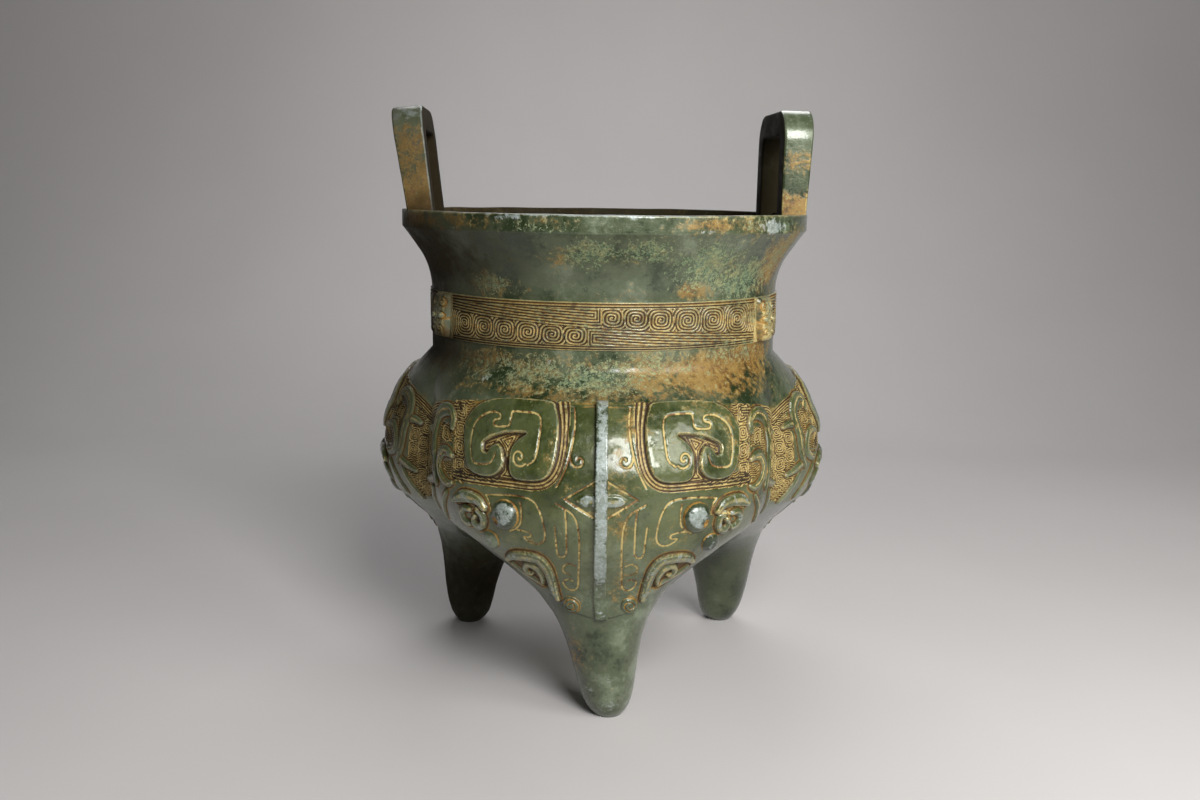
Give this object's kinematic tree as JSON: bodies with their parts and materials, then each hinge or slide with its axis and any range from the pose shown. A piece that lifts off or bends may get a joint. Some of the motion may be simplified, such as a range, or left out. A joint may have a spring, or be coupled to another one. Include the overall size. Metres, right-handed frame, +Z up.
{
  "type": "ritual tripod vessel",
  "caption": "Cast bronze li vessel: a bowl of bag-shaped lobes tapering into round legs, with a flared lip, upright loop handles, a spiral frieze and masks in relief.",
  "frame": {"origin": "centre of the bounding box at the level of the feet", "axes": "+Z up; one lobe and its leg face -Y; the handles stand on +X and -X"},
  "size_m": [0.2074, 0.1966, 0.2435],
  "materials": {
    "bronze": "old bronze under a waxed olive-green and brown patina, with ochre earth in the recesses and turquoise and pale blue-grey corrosion on the raised edges"
  },
  "bodies": {
    "root": {"vessel": "bronze"}
  },
  "joints": []
}
